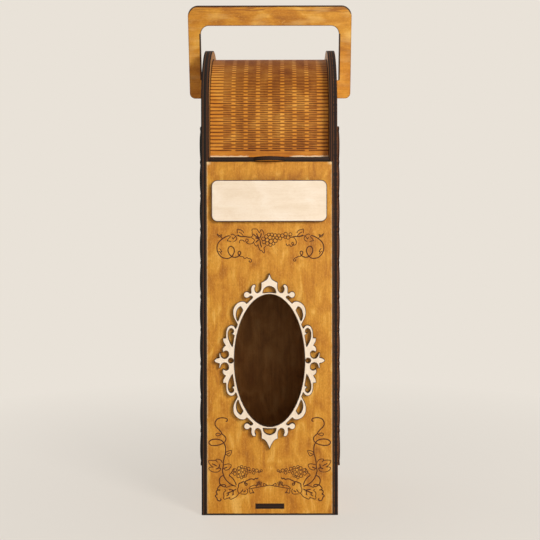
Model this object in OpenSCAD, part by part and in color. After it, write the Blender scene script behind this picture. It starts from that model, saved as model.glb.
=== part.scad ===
// Wooden wine box of laser-cut plywood with a rolling lid, an oval window and a swinging carrying handle.
// The box stands on the ground plane, its front faces -Y, and the origin is under the middle of its bounding box.

/* [Sheet] */
// Thickness of the plywood sheet
sheet_t = 3; // [2.5:0.5:4]
// Thickness of the plates glued on the outside
plate_t = 3; // [2:0.5:4]
// Gap left round a panel that is glued in
glue_gap = 0.15; // [0.1:0.05:0.3]

/* [Body] */
// Clear width between the two liners
inner_w = 90.8; // [84:0.2:110]
// Depth of the box from front face to back face
body_d = 103; // [98:1:120]
// Height of the axis of the arched top
arch_z = 309.5; // [300:0.5:340]
// Height of the front panel's top edge
front_h = 266.7; // [255:0.1:285]
// Height of the back panel's top edge
back_h = 300; // [280:1:305]
// Height of the panels' lower edges above the ground
panel_lift = 0.8; // [0.5:0.1:3]
// Height of the floor board's underside
floor_z = 5.3; // [4:0.1:12]
// Width of each tab of the floor board
floor_tab_w = 20.8; // [12:0.2:40]

/* [Window] */
// Width of the oval window
window_w = 52.8; // [44:0.2:60]
// Height of the oval window
window_h = 99.2; // [80:0.2:120]
// Height of the window's centre
window_z = 117; // [105:0.1:130]
// Step by which the front panel's hole stands back behind the oval frame
window_step = 0.6; // [0.3:0.1:1]

/* [Name plate] */
// Width of the name plate
label_w = 86.8; // [60:0.2:90]
// Height of the name plate
label_h = 31.2; // [20:0.2:36]
// Height of the name plate's centre
label_z = 236.8; // [225:0.2:245]
// Corner radius of the name plate
label_r = 4.5; // [2:0.5:8]

/* [Lid] */
// Depth of the lid's face below the rims of the sides
lid_inset = 7; // [5:0.5:10]
// Play of the lid in its grooves, on each face
groove_gap = 0.2; // [0.15:0.05:0.4]
// Room between the lid's edges and the floor of the grooves
groove_end_gap = 0.4; // [0.3:0.1:0.8]
// Gap between the lid's free slats and the liners
slat_side_gap = 0.4; // [0.3:0.1:1]
// Gap between one slat and the next, on each side of their hinge line
slat_end_gap = 0.15; // [0.1:0.05:0.25]
// Thickness of the rail on the lid's lower end
rail_t = 3; // [2.5:0.5:4]
// Gap under the rail when the lid is shut
rail_gap = 0.3; // [0.2:0.1:0.5]
// Width of the rail's thumb lip
lip_w = 23.6; // [18:0.2:35]
// Reach of the thumb lip in front of the front panel
lip_d = 6.5; // [4:0.5:8]
// Length of the solid tail at the lid's upper end
tail_l = 15; // [10:1:25]
// Gap between the lid and the wall inside the back
channel_gap = 0.4; // [0.3:0.1:1]

/* [Flexible cuts] */
// Distance between one row of cuts and the next
kerf_pitch = 2.75; // [2.4:0.05:3.5]
// Width of a cut
kerf_w = 0.5; // [0.3:0.05:0.8]
// Distance between the columns of bridges
bridge_pitch = 9.3; // [7:0.1:12]
// Width of a bridge
bridge_w = 3.5; // [2:0.1:4]

/* [Handle] */
// Width of the handle
handle_w = 131.2; // [128:0.2:150]
// Room for the fingers between the rims and the handle's top bar
grip_room = 20.2; // [18:0.1:32]
// Width of the handle's legs
leg_w = 9.9; // [6:0.1:10.2]
// Height of the handle's top bar
bar_h = 15.6; // [12:0.1:18]
// Height of the handle's feet
foot_h = 14.6; // [12:0.1:16]
// Outer corner radius of the handle
handle_r = 7.2; // [5:0.1:9]
// Inner corner radius of the handle
grip_r = 6; // [3:0.1:8]
// Corner radius of the feet
foot_r = 3.6; // [2:0.1:5]
// Height of the pivot above the axis of the arched top
pivot_rise = 21.4; // [18:0.1:24]
// Height of the flat tab that turns in the round hole
tab_h = 8; // [6:0.1:9]
// Radial play of the tab in its hole
pivot_gap = 0.08; // [0.05:0.01:0.1]
// Gap between the handle's feet and the sides
foot_gap = 0.3; // [0.2:0.1:0.6]
// Lean of the handle towards the front
handle_tilt = 13; // [0:1:20]

/* [Side ornaments] */
// Width of a side ornament
ornament_w = 66; // [60:1:80]
// Height of a side ornament
ornament_h = 262; // [240:1:270]
// Height of a side ornament's centre
ornament_z = 163.5; // [160:0.5:166]
// Width of the scroll bars
scroll_w = 3; // [2:0.1:4]

/* [Hidden] */
$fn = 96;
cut = 0.5;
amber = "#c88a3c";
amber_inside = "#c49a62";
pale = "#f4e2c6";
burnt = "#6b3f22";

front_y = max(plate_t, lip_d) / 2 - body_d / 2;
mid_y = front_y + body_d / 2;
back_y = front_y + body_d;
body_w = inner_w + 4 * sheet_t;
rim_r = body_d / 2;
side_x = inner_w / 2 + sheet_t;
panel_w = 2 * (side_x - glue_gap);
floor_top = floor_z + sheet_t;

lid_r = rim_r - lid_inset;
lid_ri = lid_r - sheet_t;
lid_w = inner_w + 2 * (sheet_t - groove_end_gap);
slat_w = inner_w - 2 * slat_side_gap;
rail_z = front_h + rail_gap;
rail_top = rail_z + rail_t;
slat_count = 4;
rows_per_slat = 3.5;
slat_l = rows_per_slat * kerf_pitch;
lid_travel = PI * lid_ri;
tail_z = arch_z - tail_l;
groove_foot = tail_z - lid_travel - rail_gap;
lip_r = (lip_w * lip_w / 4 + lip_d * lip_d) / 2 / lip_d;

pivot_z = arch_z + pivot_rise;
handle_h = rim_r - pivot_rise + grip_room + bar_h;
tab_r = norm([tab_h / 2, sheet_t / 2]);
pivot_r = tab_r + pivot_gap;
grip_x = handle_w / 2 - leg_w;
foot_x = body_w / 2 + foot_gap;

// An upright plate in a plane of constant Y: its outline's x runs to the right and its y runs up
module facing(y, t) {
    translate([0, y + t, 0]) rotate([90, 0, 0]) linear_extrude(t) children();
}

// An upright plate in a plane of constant X: its outline's x runs to the back and its y runs up
module sideways(x, t) {
    translate([x, 0, 0]) rotate([90, 0, 90]) linear_extrude(t) children();
}

// A box from one corner to the opposite one
module block(low, high) {
    translate(low) cube(high - low);
}

// A rounded rectangle round the origin, with true arcs at its corners
module rounded(w, h, r) {
    square([w - 2 * r, h], center = true);
    square([w, h - 2 * r], center = true);
    for (x = [-1, 1], y = [-1, 1]) {
        translate([x * (w / 2 - r), y * (h / 2 - r)]) circle(r);
    }
}

// Points of an oval
function oval(rx, ry, n = 96) = [for (i = [0 : n - 1]) [rx * cos(360 * i / n), ry * sin(360 * i / n)]];

// A point on the smooth curve through b and c
function between(a, b, c, d, t) =
    b + (c - a) * t / 2 + (2 * a - 5 * b + 4 * c - d) * t * t / 2 + (3 * b - a - 3 * c + d) * pow(t, 3) / 2;

// Points along a smooth curve through p, without its last point
function smooth(p, steps = 3) = [
    for (i = [0 : len(p) - 2], k = [0 : steps - 1])
        between(p[max(i - 1, 0)], p[i], p[i + 1], p[min(i + 2, len(p) - 1)], k / steps)
];

function reversed(p) = [for (i = [len(p) - 1 : -1 : 0]) p[i]];
function joined(curves) = [for (c = curves) each smooth(c)];

// The arched outline that both layers of a side share
module arch_outline() {
    translate([front_y, 0]) square([body_d, arch_z]);
    translate([mid_y, arch_z]) circle(rim_r, $fn = 180);
}

module floor_tab_slot() {
    translate([mid_y, floor_z + sheet_t / 2]) {
        square([floor_tab_w + 2 * glue_gap, sheet_t + 2 * glue_gap], center = true);
    }
}

module side(x) {
    color(amber) sideways(x, sheet_t) difference() {
        arch_outline();
        translate([mid_y, pivot_z]) circle(pivot_r);
        floor_tab_slot();
    }
}

// The groove that guides the lid: up behind the front, over the arch and down inside the back
module groove_outline() {
    groove_ri = lid_ri - groove_gap;
    groove_w = sheet_t + 2 * groove_gap;
    translate([mid_y, arch_z]) intersection() {
        difference() {
            circle(groove_ri + groove_w, $fn = 180);
            circle(groove_ri, $fn = 180);
        }
        translate([-rim_r, 0]) square([2 * rim_r, rim_r]);
    }
    translate([mid_y - groove_ri - groove_w, front_h]) square([groove_w, arch_z - front_h]);
    translate([mid_y + groove_ri, groove_foot]) square([groove_w, arch_z - groove_foot]);
}

module liner(x) {
    recess_d = sheet_t + glue_gap;
    color(amber_inside) sideways(x, sheet_t) difference() {
        arch_outline();
        groove_outline();
        translate([mid_y, pivot_z]) circle(pivot_r);
        floor_tab_slot();
        translate([front_y - cut, -cut]) square([recess_d + cut, front_h + glue_gap + cut]);
        translate([back_y - recess_d, -cut]) square([recess_d + cut, back_h + glue_gap + cut]);
    }
}

module panel_outline(h) {
    difference() {
        translate([-panel_w / 2, panel_lift]) square([panel_w, h - panel_lift]);
        translate([0, floor_z + sheet_t / 2]) {
            square([floor_tab_w + 2 * glue_gap, sheet_t + 2 * glue_gap], center = true);
        }
    }
}

module front_panel() {
    color(amber) facing(front_y, sheet_t) difference() {
        panel_outline(front_h);
        translate([0, window_z]) polygon(oval(window_w / 2 + window_step, window_h / 2 + window_step));
    }
}

module back_panel() {
    color(amber) facing(back_y - sheet_t, sheet_t) panel_outline(back_h);
}

// The wall that keeps the space inside clear of the lid as it slides down inside the back
module inner_wall() {
    wall_y = mid_y + lid_ri - channel_gap - sheet_t;
    half_w = inner_w / 2 - glue_gap;
    color(amber_inside) block([-half_w, wall_y, floor_top], [half_w, wall_y + sheet_t, back_h]);
}

module floor_board() {
    half_w = inner_w / 2 - glue_gap;
    color(amber_inside) {
        block([-half_w, front_y + sheet_t, floor_z], [half_w, back_y - sheet_t, floor_top]);
        block([-floor_tab_w / 2, front_y, floor_z], [floor_tab_w / 2, back_y, floor_top]);
        block([-body_w / 2, mid_y - floor_tab_w / 2, floor_z], [body_w / 2, mid_y + floor_tab_w / 2, floor_top]);
    }
}

module name_plate() {
    color(pale) facing(front_y - plate_t, plate_t) translate([0, label_z]) rounded(label_w, label_h, label_r);
}

// The oval frame is drawn for a window of these half sizes, and stretches with the window
drawn_half = [26.4, 49.3];
function to_window(p) = [for (q = p) [q[0] * window_w / 2 / drawn_half[0], q[1] * window_h / 2 / drawn_half[1]]];
function flip_x(p) = [for (q = p) [-q[0], q[1]]];
function flip_y(p) = [for (q = p) [q[0], -q[1]]];

// Heights of the frame's upper and lower tip, the lower one a little longer
upper_tip = 65.5;
lower_tip = 66.7;

// One quarter of the frame's outline, from the tip at the top round to the tip at the right
function frame_quarter(tip) = joined([
    // Flank of the finial
    [[0, tip], [0.8, tip - 2.4], [1.9, tip - 4.6], [3.6, 59.6], [6.3, 58.2]],
    // Bay between the finial and its hook
    [[6.3, 58.2], [6.3, 54.2], [7.2, 51.7], [9, 50.6], [10.5, 51.6], [10.9, 53.7], [10.1, 55.5]],
    // Back of the hook
    [[10.1, 55.5], [10.7, 56.6], [11.9, 56.7], [13.2, 55.8], [14, 53.6], [13.9, 50.5]],
    // Ball and its neck
    [[13.9, 50.5], [14.6, 50.2], [15.3, 50.9], [16.9, 51.5], [18.7, 50.8], [19.4, 49], [18.7, 47.2],
        [16.9, 46.5], [15.3, 47.2], [14.4, 48], [13.4, 47.9]],
    [[13.4, 47.9], [12.7, 47], [14.8, 44.9], [17.1, 42.7]],
    // Upper ear
    [[17.1, 42.7], [18.6, 44], [21.2, 44.2], [24.6, 42.6], [26.9, 39.4], [27.5, 36], [26.8, 32], [24.1, 27]],
    [[24.1, 27], [25.3, 24]],
    // Lower ear
    [[25.3, 24], [26.6, 25.8], [28.8, 26.5], [31.2, 25.2], [32.6, 22], [32.8, 16.9]],
    // Leaf on the lower ear
    [[32.8, 16.9], [35.1, 16.7]],
    [[35.1, 16.7], [34.8, 14], [33.1, 11.3]],
    // Hook above the side flower
    [[33.1, 11.3], [34.6, 10.2], [35.4, 8.2], [34.8, 6]],
    [[34.8, 6], [33.6, 6.8], [32.4, 7.2], [30.9, 6], [30.9, 3.7], [32.4, 1.9], [34.5, 1.8], [36, 3.1], [36.9, 5.8]],
    // Petal and tip of the side flower
    [[36.9, 5.8], [38, 5.4], [37.6, 2.2]],
    [[37.6, 2.2], [39.6, 1.8], [41.2, 0.8], [41.6, 0]]
]);

// Holes of one quarter
ear_hole = joined([
    [[21.6, 40.2], [23.6, 38.5], [24.8, 35.2], [24.6, 31.5], [23.6, 29.4]],
    [[23.6, 29.4], [22.2, 33.2], [20, 37.5]],
    [[20, 37.5], [20.6, 38.6], [21.6, 40.2]]
]);
curl_hole = joined([
    [[27, 21.3], [27.1, 22.8], [28.7, 23.9], [30.4, 22.5], [31, 19.5], [30.3, 15.3], [27.9, 10.3]],
    [[27.9, 10.3], [27.2, 14.5], [26.5, 18.9]],
    [[26.5, 18.9], [27.8, 19.4], [28.6, 21]],
    [[28.6, 21], [27.7, 20.6], [27, 21.3]]
]);

// The half-moon hole in the finial
moon_hole = joined([
    [[-4.9, 50.4], [-3.7, 53.6], [0, 55.3], [3.7, 53.6], [4.9, 50.4]],
    [[4.9, 50.4], [0, 50.9], [-4.9, 50.4]]
]);
flower_hole_x = 29;
flower_hole_r = 1.8;

module window_frame_outline() {
    half = concat(frame_quarter(upper_tip), reversed(flip_y(frame_quarter(lower_tip))));
    difference() {
        polygon(to_window(concat(half, reversed(flip_x(half)))));
        polygon(oval(window_w / 2, window_h / 2));
        for (x = [0, 1], y = [0, 1]) mirror([x, 0]) mirror([0, y]) {
            polygon(to_window(ear_hole));
            polygon(to_window(curl_hole));
        }
        for (y = [0, 1]) mirror([0, y]) polygon(to_window(moon_hole));
        for (x = [0, 1]) mirror([x, 0]) {
            translate(to_window([[flower_hole_x, 0]])[0]) circle(flower_hole_r, $fn = 32);
        }
    }
}

module window_frame() {
    color(pale) facing(front_y - plate_t, plate_t) translate([0, window_z]) window_frame_outline();
}

// A length of bar bent round the origin, from angle 0 to the given angle
module bent_bar(r, w, angle) {
    lap = 1.5;
    far = 2 * (r + w);
    fan = [for (k = [0 : 4]) far * [cos((angle + 2 * lap) * k / 4 - lap), sin((angle + 2 * lap) * k / 4 - lap)]];
    intersection() {
        difference() {
            circle(r + w / 2, $fn = 64);
            circle(r - w / 2, $fn = 64);
        }
        polygon(concat([[0, 0]], fan));
    }
}

// A scroll made of bent bars end to end, each [radius, angle]: it starts along x, turns left and ends in a ball
module scroll(bends, w, i = 0) {
    if (i < len(bends)) {
        r = bends[i][0];
        angle = bends[i][1];
        translate([0, r]) rotate(-90) bent_bar(r, w, angle);
        translate([r * sin(angle), r - r * cos(angle)]) rotate(angle) scroll(bends, w, i + 1);
    } else {
        circle(w * 0.75, $fn = 32);
    }
}

// A pointed leaf along x, made where two circles cross
module leaf(l, w) {
    r = (l * l / 4 + w * w / 4) / w;
    translate([l / 2, 0]) intersection() {
        translate([0, r - w / 2]) circle(r, $fn = 96);
        translate([0, w / 2 - r]) circle(r, $fn = 96);
    }
}

// One part of the side ornament, symmetric both ways: a ring, four scrolls that reach the next part, and leaves
module ornament_motif(w, h) {
    ring_r = 8.6;
    lap = 0.6;
    lead = 12;
    reach_x = w / 2 - scroll_w / 2 - ring_r;
    reach_y = h / 2 + lap - scroll_w / 2;
    bend_r = (reach_y - tan(lead / 2) * reach_x) / (1 + cos(lead) - tan(lead / 2) * (1 - sin(lead)));
    lead_r = (reach_x - bend_r * (1 - sin(lead))) / sin(lead);
    difference() {
        circle(ring_r + scroll_w / 2);
        circle(ring_r - scroll_w / 2);
    }
    for (x = [0, 1], y = [0, 1]) mirror([x, 0]) mirror([0, y]) {
        translate([ring_r, 0]) {
            scroll([[lead_r, lead], [bend_r, 170], [bend_r * 0.55, 150], [bend_r * 0.3, 120]], scroll_w);
        }
    }
    for (x = [0, 1]) mirror([x, 0]) {
        translate([ring_r + reach_x / 3, 0]) leaf(reach_x * 2 / 3, scroll_w * 2);
        for (y = [-1, 1]) translate([ring_r + reach_x / 4, y * h / 2]) leaf(reach_x * 0.7, scroll_w * 1.8);
    }
    for (y = [0, 1]) mirror([0, y]) {
        translate([0, ring_r - scroll_w]) rotate(90) leaf(h / 2 - ring_r + scroll_w + lap, scroll_w * 2.6);
    }
}

module side_ornament(x) {
    motif_count = 5;
    motif_h = ornament_h / motif_count;
    color(burnt) sideways(x, plate_t) translate([mid_y, ornament_z]) {
        for (i = [0 : motif_count - 1]) {
            translate([0, (i - (motif_count - 1) / 2) * motif_h]) ornament_motif(ornament_w, motif_h);
        }
    }
}

module handle() {
    color(amber) translate([0, mid_y, pivot_z]) rotate([handle_tilt, 0, 0]) facing(-sheet_t / 2, sheet_t) {
        difference() {
            rounded(handle_w, 2 * handle_h, handle_r);
            translate([-handle_w, -2 * handle_h]) square([2 * handle_w, 2 * handle_h]);
            rounded(2 * grip_x, 2 * (handle_h - bar_h), grip_r);
        }
        for (s = [0, 1]) mirror([s, 0]) foot_outline();
    }
}

// A foot turned in towards the side, and the tab beyond it
module foot_outline() {
    outer_x = handle_w / 2;
    low_z = -foot_h / 2;
    translate([foot_x, low_z]) square([outer_x - foot_r - foot_x, foot_h]);
    translate([foot_x, low_z + foot_r]) square([outer_x - foot_x, foot_h - foot_r]);
    translate([outer_x - foot_r, low_z + foot_r]) circle(foot_r, $fn = 48);
    translate([inner_w / 2, -tab_h / 2]) square([foot_x - inner_w / 2 + cut, tab_h]);
}

// Cuts of one row, across the sheet at z = 0: closed rows and open rows alternate
module kerf_row(open) {
    columns = 2 * floor(inner_w / 4 / bridge_pitch);
    closed_l = 2 * bridge_pitch - bridge_w;
    last = open ? columns - 2 : columns - 1;
    for (m = [-last : 2 : last]) {
        translate([m * bridge_pitch, 0, 0]) cube([closed_l, kerf_w, 4 * sheet_t], center = true);
    }
    if (open) {
        start = (columns - 1) * bridge_pitch + bridge_w / 2;
        for (s = [-1, 1]) {
            translate([s * (start + lid_w / 2), 0, 0]) cube([lid_w, kerf_w, 4 * sheet_t], center = true);
        }
    }
}

module lid_arch() {
    rows = floor(PI * lid_r / kerf_pitch);
    color(amber) translate([0, mid_y, arch_z]) difference() {
        sideways(-lid_w / 2, lid_w) intersection() {
            difference() {
                circle(lid_r, $fn = 180);
                circle(lid_ri, $fn = 180);
            }
            union() {
                translate([-rim_r, slat_end_gap]) square([2 * rim_r, rim_r]);
                square([rim_r, rim_r]);
            }
        }
        for (i = [0 : rows - 1]) {
            rotate([90 - 180 * (i + 0.5) / rows, 0, 0]) translate([0, 0, lid_r - sheet_t / 2]) {
                kerf_row(i % 2 == 1);
            }
        }
    }
}

// A slat of the lid's straight front part, counted from the arch down
module lid_slat(i) {
    top_z = arch_z - (i - 1) * slat_l - slat_end_gap;
    low_z = i == slat_count ? rail_top : arch_z - i * slat_l + slat_end_gap;
    color(amber) difference() {
        block([-slat_w / 2, mid_y - lid_r, low_z], [slat_w / 2, mid_y - lid_ri, top_z]);
        for (row = [0 : slat_count * rows_per_slat - 2]) {
            row_z = arch_z - (row + 0.5) * kerf_pitch;
            if (row_z > low_z + kerf_w && row_z < top_z - kerf_w) {
                translate([0, mid_y - lid_r, row_z]) rotate([90, 0, 0]) kerf_row(row % 2 == 1);
            }
        }
    }
}

// The strip across the lid's lower end, with a rounded lip in the middle for the thumb
module lid_rail() {
    color(burnt) translate([0, front_y, rail_z]) linear_extrude(rail_t) {
        translate([-slat_w / 2, 0]) square([slat_w, mid_y - lid_ri - front_y]);
        intersection() {
            translate([0, lip_r - lip_d]) circle(lip_r);
            translate([-lip_w, -lip_d - cut]) square([2 * lip_w, lip_d + 2 * cut]);
        }
    }
}

module lid_tail() {
    color(amber) block([-lid_w / 2, mid_y + lid_ri, tail_z], [lid_w / 2, mid_y + lid_r, arch_z]);
}

side(-body_w / 2);  // side_left
side(side_x);  // side_right
liner(-side_x);  // liner_left
liner(inner_w / 2);  // liner_right
front_panel();
back_panel();
inner_wall();
floor_board();
name_plate();
window_frame();
side_ornament(-body_w / 2 - plate_t);  // side_ornament_left
side_ornament(body_w / 2);  // side_ornament_right
handle();
lid_arch();
lid_slat(1);  // lid_slat_1
lid_slat(2);  // lid_slat_2
lid_slat(3);  // lid_slat_3
lid_slat(4);  // lid_slat_4
lid_rail();
lid_tail();
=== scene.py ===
import math

import bmesh
import bpy
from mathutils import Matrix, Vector


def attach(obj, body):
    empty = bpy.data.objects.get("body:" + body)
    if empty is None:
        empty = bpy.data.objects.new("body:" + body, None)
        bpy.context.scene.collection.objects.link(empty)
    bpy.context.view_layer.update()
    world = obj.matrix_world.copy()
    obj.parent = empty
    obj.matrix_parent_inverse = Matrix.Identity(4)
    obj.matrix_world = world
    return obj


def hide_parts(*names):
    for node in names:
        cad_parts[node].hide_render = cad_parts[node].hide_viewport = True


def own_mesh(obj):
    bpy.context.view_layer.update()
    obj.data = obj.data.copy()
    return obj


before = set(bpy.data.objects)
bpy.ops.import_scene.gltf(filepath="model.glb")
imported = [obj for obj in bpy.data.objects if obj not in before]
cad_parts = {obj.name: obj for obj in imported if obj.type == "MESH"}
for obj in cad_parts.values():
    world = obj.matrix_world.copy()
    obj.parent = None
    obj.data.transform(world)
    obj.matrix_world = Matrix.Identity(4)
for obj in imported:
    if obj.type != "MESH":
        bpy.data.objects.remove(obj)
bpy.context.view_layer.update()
scene = bpy.context.scene
print("packed frame loaded")

millimetre = 0.001


def tone(red, green, blue):
    # screen values from 0 to 255, turned into the linear colour that a shader takes
    linear = []
    for value in (red, green, blue):
        share = value / 255
        linear.append(share / 12.92 if share <= 0.04045 else ((share + 0.055) / 1.055) ** 2.4)
    return (*linear, 1.0)


# Shader maths

class Wire:
    def __init__(self, shader, socket):
        self.shader = shader
        self.socket = socket

    def maths(self, operation, first, second=0.0):
        return self.shader.node("ShaderNodeMath", {"operation": operation}, {0: first, 1: second})

    def __add__(self, other):
        return self.maths("ADD", self, other)

    __radd__ = __add__

    def __sub__(self, other):
        return self.maths("SUBTRACT", self, other)

    def __rsub__(self, other):
        return self.maths("SUBTRACT", other, self)

    def __mul__(self, other):
        return self.maths("MULTIPLY", self, other)

    __rmul__ = __mul__

    def __truediv__(self, other):
        return self.maths("DIVIDE", self, other)

    def __mod__(self, other):
        return self.maths("FLOORED_MODULO", self, other)

    def __pow__(self, other):
        return self.maths("POWER", self, other)

    def __lt__(self, other):
        return self.maths("LESS_THAN", self, other)

    def __gt__(self, other):
        return self.maths("GREATER_THAN", self, other)

    def __abs__(self):
        return self.maths("ABSOLUTE", self)

    def atLeast(self, other):
        return self.maths("MAXIMUM", self, other)

    def atMost(self, other):
        return self.maths("MINIMUM", self, other)

    def clamped(self):
        return self.atLeast(0.0).atMost(1.0)

    def between(self, low, high):
        # 0 below low, 1 above high, and an even rise from one to the other
        return ((self - low) / (high - low)).clamped()


class Shader:
    def __init__(self, holder):
        # holder is a material or a world
        holder.use_nodes = True
        self.holder = holder
        self.nodes = holder.node_tree.nodes
        self.links = holder.node_tree.links
        self.nodes.clear()

    def node(self, kind, settings=None, sockets=None, out=0):
        made = self.nodes.new(kind)
        for key, value in (settings or {}).items():
            if key == "stops":
                while len(made.color_ramp.elements) < len(value):
                    made.color_ramp.elements.new(0.5)
                for element, (position, colour) in zip(made.color_ramp.elements, value):
                    element.position = position
                    element.color = colour
            else:
                setattr(made, key, value)
        for key, value in (sockets or {}).items():
            if isinstance(key, int):
                socket = made.inputs[key]
            else:
                socket = next(s for s in made.inputs if key in (s.identifier, s.name))
            if isinstance(value, Wire):
                self.links.new(value.socket, socket)
            else:
                socket.default_value = value
        if out is None:
            return None
        if isinstance(out, int):
            return Wire(self, made.outputs[out])
        return Wire(self, next(s for s in made.outputs if out in (s.identifier, s.name)))

    def read(self, attribute, out="Fac"):
        return self.node("ShaderNodeAttribute", {"attribute_name": attribute}, out=out)

    def sheet(self):
        # millimetres across the grain, along the grain and through the sheet
        split = self.node("ShaderNodeSeparateXYZ", None, {0: self.read("sheet", "Vector")}).socket.node
        return [Wire(self, socket) for socket in split.outputs]

    def point(self, x, y, z=0.0):
        return self.node("ShaderNodeCombineXYZ", None, {0: x, 1: y, 2: z})

    def noise(self, at, detail=2.0, rough=0.5, twist=0.0):
        sockets = {"Vector": at, "Scale": 1.0, "Detail": detail, "Roughness": rough, "Distortion": twist}
        return self.node("ShaderNodeTexNoise", None, sockets)

    def blend(self, share, first, second, how="MIX"):
        settings = {"data_type": "RGBA", "blend_type": how}
        sockets = {"Factor_Float": share, "A_Color": first, "B_Color": second}
        return self.node("ShaderNodeMix", settings, sockets, "Result_Color")

    def ramp(self, share, stops):
        return self.node("ShaderNodeValToRGB", {"stops": stops}, {0: share})

    def body(self, colour, roughness, coat=0.0, specular=0.5, height=None, depth=0.1, strength=0.5):
        # depth is the height of the relief in millimetres
        sockets = {"Base Color": colour, "Roughness": roughness, "Coat Weight": coat,
                   "Specular IOR Level": specular}
        if height is not None:
            relief = {"Height": height, "Distance": depth * millimetre, "Strength": strength}
            sockets["Normal"] = self.node("ShaderNodeBump", None, relief)
        return self.node("ShaderNodeBsdfPrincipled", None, sockets)

    def plainlySeen(self):
        # 1 for what the camera, a gloss or a clear material shows, 0 for the light that falls on the box
        rays = self.node("ShaderNodeLightPath").socket.node.outputs
        camera = Wire(self, rays["Is Camera Ray"])
        glossy = Wire(self, rays["Is Glossy Ray"])
        clear = Wire(self, rays["Is Transmission Ray"])
        return (camera + glossy + clear).atMost(1.0)

    def finish(self, surface, kind="ShaderNodeOutputMaterial"):
        self.node(kind, None, {"Surface": surface}, None)
        return self.holder


def woodFace(name, look, border=None, crest=None):
    # the face veneer of a plywood sheet: figure, mottle, pores, stain and a scorched rim
    shader = Shader(bpy.data.materials.new(name))
    across, along, through = shader.sheet()
    seed = look["seed"]
    run = shader.point(across * look["figure"], along * look["figure"] * 0.07, seed)
    figure = shader.noise(run, 4, 0.6, 0.8)
    streak = shader.noise(shader.point(across * 1.7, along * 0.05, seed + 3), 3, 0.65, 0.3)
    mottle = shader.noise(shader.point(across * 0.1, along * 0.05, seed + 7), 4, 0.5, 0.8)
    pores = shader.noise(shader.point(across * 6.0, along * 0.4, seed + 5), 2, 0.5)
    speck = shader.noise(shader.point(across * 1.0, along * 0.55, seed + 9), 3, 0.7)
    shade = (figure * 0.27 + streak * 0.15 + mottle * 0.58).between(0.34, 0.67)
    colour = shader.ramp(shade, look["stops"])
    pore = pores.between(0.56, 0.68) * look["pores"]
    colour = shader.blend(pore, colour, look["poreTone"])
    cloud = speck.between(0.52, 0.76) * look["clouds"]
    colour = shader.blend(cloud, colour, look["cloudTone"])
    dusk = (1 - speck.between(0.26, 0.46)) * look["clouds"]
    colour = shader.blend(dusk, colour, look["poreTone"])
    uneven = shader.noise(shader.point(across * 0.35, along * 0.35, seed + 11), 3, 0.6)
    rim = shader.read("scorch")
    if crest:
        # the handle's top edge is burnt wider, and the stain has run in streaks just below it
        up = across * -1.0
        rim = rim * ((up - crest["burnt"]).between(0.0, 4.0) * crest["spread"] + 0.5)
        runs = shader.noise(shader.point(across * 0.42, along * 0.032, crest["seed"]), 3, 0.55, 0.6)
        band = (up - crest["low"]).between(0.0, 1.2) * (1 - (up - crest["high"]).between(0.0, 0.6))
        colour = shader.blend(runs.between(0.5, 0.56) * band * 0.75, colour, crest["streakTone"])
        bare = shader.noise(shader.point(across * 0.14, along * 0.035, crest["seed"] + 2), 3, 0.55)
        colour = shader.blend(bare.between(0.5, 0.68) * 0.4, colour, crest["bareTone"])
    burnt = (rim + uneven * 0.4 - 0.2).between(0.2, 0.8) * look["rim"]
    if crest:
        top = (up + uneven * 0.4 - crest["edge"]).between(0.0, 0.4)
        inner = (crest["inside"] - abs(along) + uneven * 0.3).between(0.0, 0.3)
        inner = inner * (up > crest["legFoot"]) * (up < crest["legTop"])
        burnt = burnt.atLeast(top.atLeast(inner) * 0.97)
    nicks = shader.noise(shader.point(across * 0.5 + along * 0.2, along * 0.16, seed + 15), 4, 0.7, 1.4)
    colour = shader.blend(nicks.between(0.64, 0.7) * look["nicks"], colour, look["cloudTone"])
    if border:
        smoke = (along - border["smokeFrom"]).between(0.0, 1.0)
        smoke = smoke * (1 - (along - border["smokeFrom"]).between(1.0, 9.0))
        smoke = smoke * (1 - abs(across - border["smokeAt"]).between(14.0, 34.0))
        smoke = smoke * uneven.between(0.35, 0.6)
        colour = shader.blend(smoke * 0.5, colour, look["poreTone"])
        side = abs(across)
        rubbed = side.between(border["pale"] - 0.5, border["pale"]) * uneven.between(0.3, 0.6)
        corner = (side - border["corner"]).between(0.0, 2.5)
        corner = corner * (along + uneven * 2 - border["top"]).between(0.0, 1.5)
        colour = shader.blend((rubbed * 0.5).atLeast(corner * 0.85), colour, border["paleTone"])
        burnt = burnt.atLeast((side + uneven * 0.3 - border["burnt"] - 0.15).between(-0.1, 0.3) * 0.97)
        # a dark band along the panel's foot: burnt edge with painted contact shadow
        burnt = burnt.atLeast((border["foot"] - along + uneven * 0.3).between(0.0, 0.35) * 0.97)
    colour = shader.blend(burnt, colour, look["rimTone"])
    roughness = look["roughness"] - 0.06 + streak * 0.14 + burnt * 0.12
    height = streak * 0.4 + pores * 0.6 - pore * 0.5
    surface = shader.body(colour, roughness, look["coat"], look["specular"], height, 0.06, 0.45)
    return shader.finish(surface)


def cutEdge(name, look):
    # the laser-burnt edge of three veneers, the middle one seen end on
    shader = Shader(bpy.data.materials.new(name))
    across, along, through = shader.sheet()
    run = shader.noise(shader.point(across * 0.5, along * 0.5, look["seed"]), 4, 0.65)
    ticks = shader.noise(shader.point(across * 2.5, along * 2.5, through * 0.6), 2, 0.6)
    middle = 1 - abs(through).between(0.3, 0.62)
    skin = abs(through).between(look["skinFrom"], look["skinFrom"] + 0.24)
    colour = shader.blend(middle * look["stripe"] * (0.45 + run * 0.8), look["char"], look["middleTone"])
    colour = shader.blend(ticks.between(0.45, 0.75) * 0.45, colour, look["ashTone"])
    colour = shader.blend(skin * look["skin"] * run.between(0.35, 0.7), colour, look["skinTone"])
    return shader.finish(shader.body(colour, 0.62 + ticks * 0.25, 0.0, 0.2, ticks + middle * 0.4, 0.08))


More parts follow.
